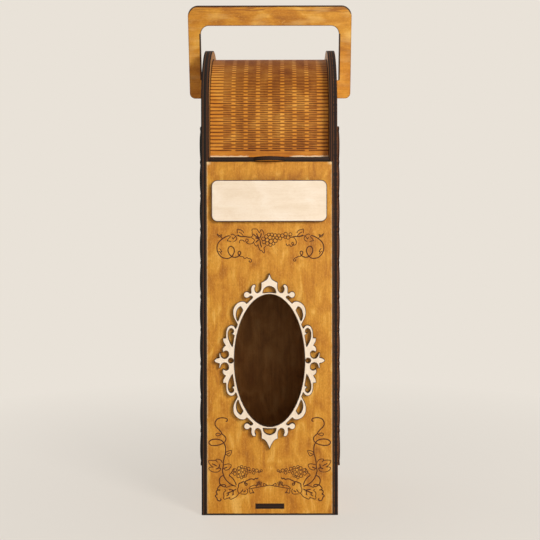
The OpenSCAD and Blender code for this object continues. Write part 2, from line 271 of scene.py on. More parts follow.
stainLook = {
    "roughness": 0.5, "coat": 0.03, "specular": 0.3, "seed": 2.0, "figure": 0.33, "pores": 0.4,
    "clouds": 0.5, "nicks": 0.6, "rim": 0.96,
    "stops": [(0.0, tone(164, 98, 22)), (0.35, tone(196, 126, 30)), (0.65, tone(216, 150, 46)),
              (1.0, tone(238, 184, 88))],
    "poreTone": tone(158, 94, 24), "cloudTone": tone(232, 178, 88), "rimTone": tone(42, 25, 15)}
handleLook = dict(stainLook, seed=47.0, figure=0.25, clouds=0.35)
insideLook = dict(
    stainLook, roughness=0.62, coat=0.0, seed=31.0, clouds=0.25, nicks=0.2,
    stops=[(0.0, tone(138, 88, 38)), (0.5, tone(176, 122, 60)), (1.0, tone(204, 154, 90))],
    poreTone=tone(128, 82, 38), cloudTone=tone(200, 152, 90))
paleLook = dict(
    stainLook, roughness=0.6, coat=0.0, seed=57.0, figure=0.4, pores=0.16, clouds=0.25, nicks=0.0,
    rim=0.99,
    stops=[(0.0, tone(240, 218, 190)), (0.5, tone(248, 229, 205)), (1.0, tone(253, 238, 218))],
    poreTone=tone(222, 192, 154), cloudTone=tone(253, 240, 222), rimTone=tone(60, 36, 21))
darkLook = dict(
    stainLook, roughness=0.55, coat=0.02, seed=83.0, pores=0.4, clouds=0.3,
    stops=[(0.0, tone(66, 28, 14)), (0.5, tone(100, 46, 24)), (1.0, tone(138, 74, 40))],
    poreTone=tone(52, 24, 13), cloudTone=tone(140, 80, 46), rimTone=tone(30, 18, 12))
panelBorder = {
    "pale": 46.7, "burnt": 47.05, "corner": 43.5, "top": 264.6, "smokeFrom": 252.0, "smokeAt": 8.0,
    "foot": 1.4, "paleTone": tone(240, 206, 150)}
handleCrest = {
    "burnt": 59.0, "spread": 5.0, "low": 60.4, "high": 65.0, "edge": 64.7, "inside": 56.8,
    "legFoot": 7.6, "legTop": 44.0, "seed": 3.0, "streakTone": tone(150, 84, 24),
    "bareTone": tone(236, 190, 112)}
edgeLook = {
    "seed": 12.0, "stripe": 0.7, "skin": 0.2, "char": tone(27, 19, 15), "middleTone": tone(104, 62, 34),
    "ashTone": tone(50, 38, 31), "skinTone": tone(120, 78, 42), "skinFrom": 1.22}
leftEdgeLook = dict(
    edgeLook, seed=13.0, stripe=0.65, skin=0.0, char=tone(14, 12, 12), middleTone=tone(104, 66, 36),
    ashTone=tone(28, 25, 24))
rightEdgeLook = dict(
    edgeLook, seed=14.0, stripe=0.1, skin=1.1, char=tone(15, 13, 14), ashTone=tone(30, 27, 27),
    skinTone=tone(134, 80, 36), skinFrom=0.85)
# the ornaments' edges come in two copies: the left one darkened as painted shade, the right one lightened
# as painted light
shadedLeftOrnamentLook = dict(
    edgeLook, seed=9.0, stripe=0.2, skin=0.1, char=tone(6, 5, 4), middleTone=tone(70, 42, 22),
    ashTone=tone(18, 13, 10), skinTone=tone(60, 38, 20))
litRightOrnamentLook = dict(
    edgeLook, seed=11.0, stripe=0.6, skin=0.5, char=tone(52, 32, 22), middleTone=tone(122, 78, 52),
    ashTone=tone(70, 46, 34), skinTone=tone(110, 66, 36))
railLook = dict(edgeLook, seed=17.0, stripe=0.22, skin=0.1)
paleEdgeLook = dict(
    edgeLook, seed=22.0, stripe=0.6, skin=0.2, char=tone(40, 25, 16), middleTone=tone(96, 62, 38),
    ashTone=tone(62, 43, 30), skinTone=tone(150, 112, 74))

stainedFace = woodFace("stainedFace", stainLook)
frontFace = woodFace("frontFace", stainLook, panelBorder)
handleFace = woodFace("handleFace", handleLook, None, handleCrest)
insideFace = woodFace("insideFace", insideLook)
paleFace = woodFace("paleFace", paleLook)
ornamentFace = woodFace("ornamentFace", darkLook)
burntEdge = cutEdge("burntEdge", edgeLook)
leftEdge = cutEdge("leftEdge", leftEdgeLook)
rightEdge = cutEdge("rightEdge", rightEdgeLook)
shadedLeftOrnamentEdge = cutEdge("shadedLeftOrnamentEdge", shadedLeftOrnamentLook)
litRightOrnamentEdge = cutEdge("litRightOrnamentEdge", litRightOrnamentLook)
railEdge = cutEdge("railEdge", railLook)
paleEdge = cutEdge("paleEdge", paleEdgeLook)
print("wood materials ready")


# Sheet pieces: each takes its node's outline, with softened arrises and a scorched rim round every cut

def cleared(mesh):
    mesh.validate()
    mesh.shade_smooth()
    mesh.set_sharp_from_angle(angle=math.radians(24))
    return mesh


def addPiece(name, bm, materials):
    mesh = bpy.data.meshes.new(name)
    bm.to_mesh(mesh)
    bm.free()
    for material in materials:
        mesh.materials.append(material)
    piece = bpy.data.objects.new(name, cleared(mesh))
    scene.collection.objects.link(piece)
    return piece


def rounder(out, up, corners):
    # each corner's arc gets its new radius, and the straight edges beside it shorten
    for corner in corners:
        x, y = abs(out), up * corner["side"]
        radius, wider = corner["radius"], corner["rounder"]
        dx, dy = x - corner["x"] + radius, y - corner["up"] + radius
        distance = math.hypot(dx, dy)
        if min(dx, dy) > -0.06 and abs(distance - radius) < 1.6:
            reach = (distance + wider - radius) / distance
            x = corner["x"] - wider + dx * reach
            y = corner["up"] - wider + dy * reach
            return math.copysign(x, out), y * corner["side"]
    return out, up


def sheetPiece(name, node, body, grain, middle, faceSide, faces, edges, arris=0.16, rims=(0.3, 0.6),
               joined=True, corners=()):
    # middle is half way through the sheet, faceSide its unit normal, grain the run of the fibres
    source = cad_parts[node]
    bm = bmesh.new()
    bm.from_mesh(source.data)
    bm.transform(source.matrix_world)
    bmesh.ops.remove_doubles(bm, verts=bm.verts, dist=2e-6)
    if joined:
        bmesh.ops.dissolve_limit(bm, angle_limit=math.radians(0.4), verts=bm.verts, edges=bm.edges)
    sharp = [e for e in bm.edges if len(e.link_faces) == 2 and e.calc_face_angle(0) > math.radians(30)]
    bmesh.ops.bevel(bm, geom=sharp, offset=arris * millimetre, segments=2, profile=0.6, affect="EDGES",
                    clamp_overlap=True)
    bm.normal_update()
    normal = Vector(faceSide).normalized()
    fibre = Vector(grain).normalized()
    side = fibre.cross(normal)
    scorch = bm.verts.layers.float.new("scorch")
    place = bm.verts.layers.float_vector.new("sheet")
    for vert in bm.verts:
        vert[scorch] = 1.0
    flat = [f for f in bm.faces if abs(f.normal.dot(normal)) > 0.995]
    for step, level in zip(rims, (0.5, 0.0)):
        bmesh.ops.inset_region(bm, faces=flat, thickness=step * millimetre, use_even_offset=False)
        for face in flat:
            for vert in face.verts:
                vert[scorch] = level
    centre = Vector(middle)
    for vert in bm.verts:
        offset = (vert.co - centre) / millimetre
        across, along, through = offset.dot(side), offset.dot(fibre), offset.dot(normal)
        if corners:
            along, height = rounder(along, -across, corners)
            across = -height
            vert.co = centre + (side * across + fibre * along + normal * through) * millimetre
        vert[place] = (across, along, through)
    bm.normal_update()
    for face in bm.faces:
        face.material_index = 0 if abs(face.normal.dot(normal)) > 0.9 else 1
    piece = addPiece(name, bm, [faces, edges])
    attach(piece, body)
    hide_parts(node)
    return piece


size = {
    "sheet": 3.0, "frontY": -48.25, "backY": 54.75, "middleY": 3.25, "innerHalf": 45.4, "archZ": 309.5,
    "lidOuter": 44.5, "lidInner": 41.5, "pivotZ": 330.9, "handleLean": 13.0}
handleCorners = [
    {"x": 65.6, "up": 65.9, "radius": 7.2, "rounder": 8.4, "side": 1},
    {"x": 55.7, "up": 50.3, "radius": 6.0, "rounder": 6.5, "side": 1},
    {"x": 65.6, "up": 7.3, "radius": 3.6, "rounder": 4.4, "side": -1}]


def mm(x, y, z):
    return (x * millimetre, y * millimetre, z * millimetre)


halfSheet = size["sheet"] / 2
upright = (0, 0, 1)
toFront = (0, -1, 0)
toRight = (1, 0, 0)
# each side takes its own copy of the ornament edge, with painted shade on the left and painted light on
# the right
for sign, word, sideEdge, trimEdge in (
        (-1, "left", leftEdge, shadedLeftOrnamentEdge), (1, "right", rightEdge, litRightOrnamentEdge)):
    inner = size["innerHalf"]
    sheetPiece(word + "Side", "side_" + word, "root", upright,
               mm(sign * (inner + 3 * halfSheet), 0, 0), toRight, stainedFace, sideEdge)
    sheetPiece(word + "Liner", "liner_" + word, "root", upright,
               mm(sign * (inner + halfSheet), 0, 0), toRight, insideFace, burntEdge)
    sheetPiece(word + "Ornament", "side_ornament_" + word, "root", upright,
               mm(sign * (inner + 5 * halfSheet), 0, 0), toRight, ornamentFace, trimEdge, 0.2,
               (0.25, 0.3), False)
sheetPiece("frontPanel", "front_panel", "root", upright,
           mm(0, size["frontY"] + halfSheet, 0), toFront, frontFace, burntEdge)
sheetPiece("backPanel", "back_panel", "root", upright,
           mm(0, size["backY"] - halfSheet, 0), toFront, stainedFace, burntEdge)
sheetPiece("innerWall", "inner_wall", "root", upright,
           mm(0, size["middleY"] + 39.6, 0), toFront, insideFace, burntEdge)
sheetPiece("floorBoard", "floor_board", "root", (0, 1, 0), mm(0, 0, 6.8), (0, 0, 1),
           insideFace, railEdge)
sheetPiece("namePlate", "name_plate", "root", (1, 0, 0),
           mm(0, size["frontY"] - halfSheet, 236.8), toFront, paleFace, paleEdge, 0.2, (0.36, 0.3))
sheetPiece("windowFrame", "window_frame", "root", upright,
           mm(0, size["frontY"] - halfSheet, 117.0), toFront, paleFace, paleEdge, 0.14, (0.42, 0.2),
           False)
lean = math.radians(size["handleLean"])
sheetPiece("carryHandle", "handle", "handle", (1, 0, 0),
           mm(0, size["middleY"], size["pivotZ"]), (0, -math.cos(lean), -math.sin(lean)), handleFace,
           burntEdge, 0.18, (0.4, 0.55), True, handleCorners)
sheetPiece("lidRail", "lid_rail", "lid_end", (1, 0, 0), mm(0, size["frontY"], 268.5),
           (0, 0, 1), stainedFace, railEdge, 0.25)
sheetPiece("lidTail", "lid_tail", "lid_back", (1, 0, 0), mm(0, size["middleY"] + 43, 300),
           (0, 1, 0), stainedFace, burntEdge)
print("sheet pieces ready")


# Lid: one sheet with rows of cuts, closed rows and open rows in turn

lid = {
    "cutPitch": 1.375, "cutWidth": 0.26, "bridgePitch": 9.33, "bridgeWidth": 3.9, "shift": 0.6,
    "solidFrom": 35.6, "archRows": 100, "leadRows": 8,
    "slatRows": 7, "uncutRows": 3, "seam": 0.02, "halfWidth": 47.6, "slatHalfWidth": 45.0,
    "slatEnds": [309.5, 299.875, 290.25, 280.625, 270.0]}
lidLook = {
    "stops": [(0.0, tone(172, 100, 22)), (0.5, tone(208, 133, 37)), (1.0, tone(238, 174, 74))],
    "stainStops": [(0.0, tone(106, 47, 16)), (0.5, tone(136, 71, 23)), (1.0, tone(166, 99, 35))],
    "poreTone": tone(150, 90, 30), "coreTone": tone(84, 42, 18), "upperShadeTone": tone(126, 66, 22),
    "crownShadeTone": tone(134, 72, 24), "brimShadowTone": tone(46, 25, 13), "wornHighlightTone": tone(244, 222, 186),
    "brimShadowFrom": 44.5, "wornHighlightLeft": -18.0, "wornHighlightRight": 15.0}


def lidShader():
    shader = Shader(bpy.data.materials.new("lidLattice"))
    across, along, through = shader.sheet()
    # along counts rows of cuts: closed rows are odd, open rows even
    pitch = lid["cutPitch"]
    period = 2 * lid["bridgePitch"]
    half = lid["bridgeWidth"] / 2
    x = abs(across - lid["shift"])
    row = along
    toClosed = abs((row / 2 + 0.75) % 1.0 - 0.5) * (2 * pitch)
    toOpen = abs((row / 2 + 0.25) % 1.0 - 0.5) * (2 * pitch)
    closedBridge = abs((x / period + 0.5) % 1.0 - 0.5) * period
    openBridge = abs((x / period) % 1.0 - 0.5) * period
    closedX = (half - closedBridge).atLeast(x - lid["solidFrom"]).atLeast(0.0)
    openX = (half - openBridge).atLeast(0.0) * (x < lid["solidFrom"] + half)
    closedGap = (toClosed * toClosed + closedX * closedX) ** 0.5
    openGap = (toOpen * toOpen + openX * openX) ** 0.5
    gap = closedGap.atMost(openGap) - lid["cutWidth"] / 2
    lastRow = 4 * lid["slatRows"] - lid["uncutRows"]
    gap = gap + (row > lastRow) * 9.0
    fibre = shader.noise(shader.point(row * 1.9, across * 0.05, 4.0), 3, 0.6, 0.2)
    blotch = shader.noise(shader.point(row * 0.06, across * 0.04, 9.0), 3, 0.6, 0.5)
    pores = shader.noise(shader.point(row * 8.0, across * 0.35, 14.0), 2, 0.5)
    uneven = shader.noise(shader.point(row * 0.5, across * 0.6, 19.0), 3, 0.7)
    shade = (fibre * 0.45 + blotch * 0.55).between(0.34, 0.66)
    colour = shader.ramp(shade, lidLook["stops"])
    colour = shader.blend(pores.between(0.57, 0.7) * 0.3, colour, lidLook["poreTone"])
    stain = shader.ramp(blotch.between(0.36, 0.62), lidLook["stainStops"])
    # towards the top of the arch the stain is more even, and the colour is darkened there: painted shade
    # where the light grazes the top
    upper = 1 - (row + 45).between(0.0, 40.0)
    scorched = (1 - (gap + uneven * 0.25 - 0.12 - upper * 0.24).between(0.08, 0.62)) * 0.95
    colour = shader.blend(scorched, colour, stain)
    core = 1 - gap.between(-0.04, 0.1)
    colour = shader.blend(core * (0.85 - upper * 0.5), colour, lidLook["coreTone"])
    colour = shader.blend(upper * 0.34, colour, lidLook["upperShadeTone"])
    # painted shade: darker still over the crown of the arch
    crownShade = 1 - (row + 46).between(0.0, 12.0)
    colour = shader.blend(crownShade * 0.75, colour, lidLook["crownShadeTone"])
    # painted shadow: a dark line down both sides of the upper lid, where the rims shade the gap beside
    # the sheet
    brimShadow = (abs(across) - lidLook["brimShadowFrom"]).between(0.0, 0.4) * (1 - (row + 14).between(0.0, 14.0))
    colour = shader.blend(brimShadow * 0.9, colour, lidLook["brimShadowTone"])
    # the sheet's lower arris has a pale line on both sides of the thumb lip: a painted highlight on the
    # lit arris, with worn bare wood in it
    ripple = shader.noise(shader.point(across * 0.35, 0.5, 27.0), 3, 0.6)
    wornHighlight = (row + ripple * 1.1 - (4 * lid["slatRows"] - 0.05)).between(0.0, 0.2)
    left = 1 - (across - lidLook["wornHighlightLeft"]).between(0.0, 3.0)
    right = (across - lidLook["wornHighlightRight"]).between(0.0, 3.0)
    colour = shader.blend(wornHighlight * left.atLeast(right) * 0.9, colour, lidLook["wornHighlightTone"])
    relief = fibre * 0.6 + pores * 0.4 - scorched * 0.5
    return shader.finish(shader.body(colour, 0.5 + scorched * 0.25, 0.02, 0.22, relief, 0.06, 0.4))


lidFace = lidShader()


def cutSpans(row):
    # the stretches of a row, in x, that are cut right through
    pitch = lid["bridgePitch"]
    half = lid["bridgeWidth"] / 2
    shift = lid["shift"]
    spans = []
    closed = row % 2 == 1
    first, last = (1, 3) if closed else (0, 2)
    for number in range(first, last + 1, 2):
        for sign in ((-1, 1) if number else (1,)):
            middle = sign * number * pitch
            spans.append((middle - pitch + half + shift, middle + pitch - half + shift))
    if not closed:
        start = 3 * pitch + half
        spans.extend([(start + shift, 99.0), (-99.0, shift - start)])
    return spans


def latticePiece(name, rows, ends, halfWidth, place, body, node):
    # rows is the range of rows of cuts, ends the first and last row coordinate,
    # place gives a point from x, row and side
    pitch = lid["bridgePitch"]
    half = lid["bridgeWidth"] / 2
    slot = lid["cutWidth"] / 2 / lid["cutPitch"]
    xs = {-halfWidth, halfWidth}
    for number in range(4):
        for sign in (-1, 1):
            middle = sign * number * pitch + lid["shift"]
            xs.update((middle - half, middle + half))
    xs = sorted(round(x, 4) for x in xs)
    rowLines = [ends[0]]
    bands = []
    for row in rows:
        rowLines.append(row + 0.5 - slot)
        bands.append(None)
        rowLines.append(row + 0.5 + slot)
        bands.append(row)
    rowLines.append(ends[1])
    bands.append(None)
    filled = {}
    for j, row in enumerate(bands):
        spans = [] if row is None else cutSpans(row)
        for i in range(len(xs) - 1):
            middle = (xs[i] + xs[i + 1]) / 2
            filled[i, j] = not any(low < middle < high for low, high in spans)
    bm = bmesh.new()
    at = bm.verts.layers.float_vector.new("sheet")
    corners = {}

    def corner(i, j, side):
        key = (i, j, side)
        if key not in corners:
            vert = bm.verts.new(place(xs[i], rowLines[j], side))
            vert[at] = (xs[i], rowLines[j], halfSheet * side)
            corners[key] = vert
        return corners[key]

    for (i, j), solid in filled.items():
        if not solid:
            continue
        for side in (1, -1):
            ring = [corner(i, j, side), corner(i + 1, j, side), corner(i + 1, j + 1, side),
                    corner(i, j + 1, side)]
            bm.faces.new(ring if side == 1 else ring[::-1])
        walls = (((i, j - 1), (i, j), (i + 1, j)), ((i, j + 1), (i + 1, j + 1), (i, j + 1)),
                 ((i - 1, j), (i, j + 1), (i, j)), ((i + 1, j), (i + 1, j), (i + 1, j + 1)))
        for beyond, start, end in walls:
            if not filled.get(beyond, False):
                bm.faces.new([corner(*end, 1), corner(*start, 1), corner(*start, -1), corner(*end, -1)])
    bmesh.ops.recalc_face_normals(bm, faces=bm.faces)
    piece = addPiece(name, bm, [lidFace])
    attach(piece, body)
    if node:
        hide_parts(node)
    return piece


def onArch(x, row, side):
    angle = math.pi * (1 + row / lid["archRows"])
    radius = (size["lidOuter"] + size["lidInner"]) / 2 + halfSheet * side
    return mm(x, size["middleY"] + radius * math.cos(angle), size["archZ"] + radius * math.sin(angle))


def onFront(x, row, side):
    return mm(x, size["middleY"] - size["lidInner"] - halfSheet - halfSheet * side,
              size["archZ"] - row * lid["cutPitch"])


def rowAt(z):
    return (size["archZ"] - z) / lid["cutPitch"]


# the arch's first rows go with the leading slat, so that no gap opens behind it when the lid is open
lead = -lid["leadRows"]
archTop = latticePiece("lidArch", range(-lid["archRows"], lead), (-lid["archRows"], lead - lid["seam"]),
                       lid["halfWidth"], onArch, "lid_back", "lid_arch")
latticePiece("lidArchLead", range(lead, 0), (lead + lid["seam"], -lid["seam"]), lid["slatHalfWidth"],
             onArch, "lid_lead", None)
mm(0, size["middleY"] + 44.4, 309.5)
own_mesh(archTop)
for number, body in enumerate(("lid_lead", "lid_second", "lid_third", "lid_end")):
    firstRow = number * lid["slatRows"]
    lastRow = firstRow + lid["slatRows"] - (lid["uncutRows"] if number == 3 else 0)
    upper, lower = lid["slatEnds"][number:number + 2]
    ends = (rowAt(upper) + lid["seam"], rowAt(lower) - lid["seam"])
    latticePiece("lidSlat" + str(number + 1), range(firstRow, lastRow), ends, lid["slatHalfWidth"],
                 onFront, body, "lid_slat_" + str(number + 1))
print("lid ready")


# Vines engraved on the front, drawn as strokes on a grid with its first corner at the top left

def smoothed(points, steps=5):
    curve = []
    for index in range(len(points) - 1):
        before = points[max(index - 1, 0)]
        start = points[index]
        end = points[index + 1]
        after = points[min(index + 2, len(points) - 1)]
        for step in range(steps):
            t = step / steps
            curve.append(tuple(
                b + (c - a) * t / 2 + (2 * a - 5 * b + 4 * c - d) * t * t / 2
                + (3 * b - a - 3 * c + d) * t ** 3 / 2
                for a, b, c, d in zip(before, start, end, after)))
    curve.append(points[-1])
    return curve


upperVine = {
    "step": 0.0626, "left": -48.7, "top": 218.7, "fold": 0.75, "grapeWidth": 0.62,
    "bold": ["scroll", "stem", "veinTop", "veinLeft", "veinLow", "veinFoot", "veinTopRight",
             "veinMiddle"],
    "bothSides": {
        "scroll": [(299, 125), (257, 139), (214, 164), (179, 193), (156, 228), (147, 267), (150, 306),
                   (165, 341), (186, 369), (214, 391), (242, 399), (274, 403), (303, 394), (327, 376),
                   (349, 341), (356, 306), (345, 274), (317, 256), (292, 267), (280, 295), (285, 330),
                   (303, 359), (327, 380), (359, 389), (387, 384), (416, 366), (432, 338), (426, 320),
                   (412, 316), (400, 334), (412, 362), (433, 380)],
        "bud": [(149, 102), (154, 118), (165, 136), (179, 146), (196, 139), (202, 115), (175, 125),
                (149, 102)],
        "budStem": [(154, 111), (179, 129), (200, 148), (210, 164)],
        "innerMark": [(172, 284), (186, 291), (203, 320), (190, 322)],
        "innerTick": [(163, 320), (179, 320), (203, 355)],
        "hangingTop": [(313, 118), (334, 109), (359, 122), (377, 143), (384, 164), (373, 185),
                       (345, 200)],
        "hangingSide": [(299, 129), (306, 143), (285, 164), (271, 189), (292, 192), (320, 200)],
        "hangingVein": [(327, 146), (336, 160), (345, 168), (363, 143), (387, 125)],
        "uprightLeaf": [(393, 100), (391, 76), (393, 49), (416, 54), (444, 63), (465, 83), (467, 99)],
        "uprightVein": [(409, 86), (437, 100), (469, 134)],
        "uprightFoot": [(394, 115), (416, 127), (440, 136)],
        "stem": [(387, 125), (440, 138), (486, 138), (522, 145), (557, 147)]},
    "once": {
        "leftTail": [(433, 380), (458, 380), (472, 398), (490, 401), (508, 391), (525, 403), (550, 408),
                     (564, 426), (557, 444), (540, 445), (532, 433), (543, 430)],
        "rightTail": [(1147, 380), (1128, 376), (1111, 390), (1096, 394), (1082, 402), (1068, 419),
                      (1074, 434), (1090, 434), (1097, 420), (1086, 414)],
        "leafTop": [(571, 83), (570, 51), (593, 47), (628, 49), (642, 69), (658, 93), (673, 63),
                    (687, 58), (703, 77), (712, 97), (708, 116)],
        "leafSide": [(557, 147), (564, 136), (578, 130), (571, 100), (571, 83)],
        "leafLow": [(557, 147), (578, 161), (600, 182), (589, 203), (596, 224), (610, 246), (628, 253),
                    (642, 235), (646, 260), (656, 284), (660, 293), (673, 310), (683, 305), (697, 324),
                    (715, 337), (719, 307), (715, 273), (741, 253)],
        "veinTop": [(624, 96), (635, 129), (655, 160)],
        "veinTopRight": [(682, 98), (675, 131), (660, 160)],
        "veinLeft": [(582, 104), (607, 129), (650, 160)],
        "veinMiddle": [(606, 154), (630, 160), (660, 168)],
        "veinLow": [(610, 212), (635, 189), (663, 172)],
        "veinFoot": [(664, 180), (668, 210), (674, 239), (687, 270)],
        "leftTendril": [(589, 205), (568, 224), (540, 228), (515, 221), (502, 207), (490, 185),
                        (504, 168), (522, 178), (518, 198), (504, 208)],
        "leftCurl": [(481, 205), (462, 185), (440, 180), (419, 189), (416, 203), (426, 221)],
        "rightTendril": [(1045, 143), (1076, 153), (1096, 182), (1104, 212), (1094, 236), (1076, 244),
                         (1062, 239), (1047, 226), (1054, 207), (1069, 216), (1067, 239), (1042, 258),
                         (1027, 249), (1015, 236), (998, 249), (984, 239), (981, 221)]},
    "grapes": [(770, 115, 18), (808, 115, 19), (848, 124, 20), (892, 127, 20), (935, 128, 22),
               (974, 109, 21), (1031, 112, 19), (1004, 151, 21), (968, 147, 15), (741, 138, 21),
               (786, 149, 24), (825, 153, 17), (868, 155, 20), (908, 161, 20), (705, 166, 22),
               (751, 180, 22), (850, 188, 24), (798, 197, 24), (712, 204, 21), (753, 223, 22),
               (791, 239, 19), (826, 223, 18)],
    "grapesBothSides": []}
lowerVine = {
    "step": 0.04524, "left": -48.65, "top": 77.9, "fold": -0.05, "grapeWidth": 0.58,
    "bold": ["headCurl", "wideLoop", "stem", "bunchStem", "bigVeinFar", "bigVeinMid", "bigVeinLow",
             "nearVein", "wavyTendril", "midTendril", "lowVeinFork", "lowVeinMid", "lowVeinTop",
             "lowVeinFoot", "littleVein"],
    "bothSides": {
        "headCurl": [(340, 160), (368, 150), (365, 120), (330, 103), (270, 98), (210, 115), (175, 155),
                     (165, 205), (185, 250), (230, 295), (265, 335), (280, 365), (320, 400), (345, 440),
                     (335, 485), (310, 515)],
        "smallLoop": [(280, 365), (240, 390), (205, 400), (180, 385), (185, 360), (220, 355), (265, 375)],
        "wideLoop": [(310, 515), (270, 475), (200, 455), (120, 460), (70, 490), (65, 525), (100, 555),
                     (170, 560), (250, 545), (310, 515)],
        "stem": [(310, 515), (330, 560), (340, 620), (335, 700), (323, 737), (314, 779), (304, 821),
                 (300, 863), (300, 905), (290, 947), (286, 989), (297, 1031), (311, 1073), (339, 1122),
                 (374, 1164), (416, 1199), (472, 1227), (514, 1241)],
        "smallLeafTop": [(340, 708), (352, 668), (396, 650), (445, 641)],
        "smallLeafFoot": [(445, 641), (430, 694), (398, 736), (357, 716), (340, 708)],
        "smallVein": [(357, 703), (389, 694), (412, 676)],
        "bigLeafTop": [(48, 810), (94, 806), (139, 806), (174, 810), (179, 794), (195, 786), (234, 792),
                       (265, 810), (284, 849)],
        "bigLeafNotch": [(181, 792), (186, 821), (207, 843)],
        "bigLeafUnder": [(50, 815), (67, 857), (97, 894), (139, 922)],
        "bigLeafFoot": [(139, 922), (94, 920), (66, 929), (60, 947), (78, 971), (116, 996), (164, 1004),
                        (213, 999), (242, 978), (262, 952)],
        "bigVeinFar": [(113, 862), (153, 880), (195, 904)],
        "bigVeinMid": [(242, 868), (234, 905), (225, 934)],
        "bigVeinLow": [(179, 951), (202, 944), (227, 934), (269, 948)],
        "nearLeafTop": [(307, 885), (342, 876), (388, 866), (434, 880)],
        "nearLeafFoot": [(434, 880), (426, 915), (405, 947), (372, 965), (339, 971), (312, 955)],
        "nearVein": [(368, 916), (339, 933), (297, 947)],
        "bunchEdge": [(395, 1058), (416, 1034), (444, 1006), (459, 964), (487, 938)],
        "bunchStem": [(395, 1058), (419, 1074), (452, 1102), (480, 1139), (501, 1179), (517, 1223)],
        "wavyTendril": [(297, 1060), (262, 1080), (239, 1115), (234, 1157), (249, 1207), (283, 1235),
                        (319, 1249), (342, 1235), (325, 1214), (290, 1213), (255, 1220), (227, 1241),
                        (204, 1276), (211, 1297), (249, 1304), (211, 1301), (185, 1326), (189, 1358),
                        (203, 1370), (178, 1386), (167, 1406), (190, 1428), (197, 1452), (211, 1474),
                        (235, 1483), (257, 1474), (262, 1454), (246, 1448)],
        "midTendril": [(556, 1251), (554, 1220), (567, 1192), (598, 1181), (631, 1164), (654, 1170),
                       (657, 1195), (672, 1221), (694, 1218), (696, 1198), (675, 1186), (664, 1165),
                       (685, 1150), (717, 1136), (752, 1119), (787, 1119), (815, 1129), (836, 1108),
                       (864, 1116), (882, 1092)],
        "lowLeafTop": [(340, 1263), (374, 1249), (416, 1234), (472, 1227)],
        "lowLeafSide": [(321, 1288), (343, 1311), (318, 1332), (304, 1367), (312, 1408), (304, 1437),
                        (319, 1459)],
        "lowLeafFoot": [(319, 1459), (353, 1445), (395, 1431), (413, 1417)],
        "lowLeafEnd": [(413, 1417), (405, 1442), (430, 1455), (473, 1437), (515, 1414), (543, 1381),
                       (560, 1353)],
        "lowVeinTop": [(517, 1286), (473, 1307), (437, 1298), (388, 1293)],
        "lowVeinMid": [(473, 1310), (416, 1335), (353, 1357)],
        "lowVeinFork": [(374, 1347), (388, 1374), (354, 1403)],
        "lowVeinFoot": [(473, 1310), (463, 1349), (472, 1389)],
        "lowVeinSide": [(463, 1349), (449, 1398)],
        "littleLeaf": [(561, 1242), (539, 1283), (543, 1326), (571, 1357), (606, 1325), (627, 1288)],
        "littleVein": [(636, 1338), (654, 1324), (678, 1311)],
        "thirdLeaf": [(589, 1367), (640, 1371), (679, 1371), (706, 1340), (704, 1300), (687, 1283)],
        "thirdVein": [(627, 1290), (619, 1314), (588, 1347)],
        "branchTop": [(724, 1280), (753, 1248), (787, 1231), (822, 1220), (839, 1230), (858, 1246)],
        "branchFoot": [(724, 1286), (794, 1272), (899, 1253), (1004, 1233), (1060, 1223), (1086, 1221)],
        "endLeafSide": [(745, 1290), (739, 1325), (748, 1361)],
        "endLeafFoot": [(748, 1361), (780, 1347), (818, 1353)],
        "endLeafTop": [(818, 1353), (794, 1324), (774, 1286)],
        "tipLeaf": [(970, 1193), (998, 1202), (1021, 1223), (984, 1241), (969, 1220), (970, 1193)]},
    "once": {},
    "grapes": [],
    "grapesBothSides": [(500, 971, 24), (559, 940, 27), (605, 912, 20), (622, 968, 27), (668, 929, 20),
                        (559, 1003, 28), (493, 1031, 27), (626, 1038, 28), (552, 1069, 27),
                        (724, 947, 25), (685, 982, 18), (748, 996, 20), (692, 1020, 21), (801, 964, 20),
                        (857, 978, 27), (808, 1017, 22), (671, 1069, 18), (605, 1097, 20),
                        (456, 1006, 18), (899, 1000, 15), (934, 982, 17), (643, 1081, 13),
                        (874, 1185, 14), (899, 1167, 13), (927, 1185, 15), (895, 1204, 14),
                        (922, 1220, 13), (864, 1220, 11)]}
engraving = {
    "width": 0.68, "boldWidth": 0.95, "proud": 0.04, "sunk": 0.05, "grapePoints": 18,
    "stops": [(0.3, tone(58, 28, 15)), (0.55, tone(86, 43, 21)), (0.8, tone(122, 67, 30))]}


def vineStrokes(vine):
    def placed(point):
        return (vine["left"] + vine["step"] * point[0], vine["top"] - vine["step"] * point[1])

    def folded(point):
        return (2 * vine["fold"] - point[0], point[1])

    def grape(u, v, radius):
        turns = engraving["grapePoints"]
        angles = [2 * math.pi * k / turns for k in range(turns + 1)]
        return [placed((u + radius * math.cos(angle), v + radius * math.sin(angle))) for angle in angles]

    def width(name):
        return engraving["boldWidth" if name in vine["bold"] else "width"]

    strokes = []
    fine = vine["grapeWidth"]
    for name, line in vine["bothSides"].items():
        half = [placed(point) for point in smoothed(line)]
        strokes.extend([(width(name), half), (width(name), [folded(point) for point in half])])
    for name, line in vine["once"].items():
        strokes.append((width(name), [placed(point) for point in smoothed(line)]))
    for one in vine["grapes"]:
        strokes.append((fine, grape(*one)))
    for one in vine["grapesBothSides"]:
        half = grape(*one)
        strokes.extend([(fine, half), (fine, [folded(point) for point in half])])
    return strokes


def engravingShader():
    shader = Shader(bpy.data.materials.new("engravedLine"))
    across, along, through = shader.sheet()
    run = shader.noise(shader.point(across * 0.7, along * 0.7, 41.0), 3, 0.6)
    fine = shader.noise(shader.point(across * 4.0, along * 4.0, 43.0), 2, 0.6)
    colour = shader.ramp(run * 0.7 + fine * 0.3, engraving["stops"])
    return shader.finish(shader.body(colour, 0.6 + fine * 0.2, 0.0, 0.3, fine, 0.03, 0.4))


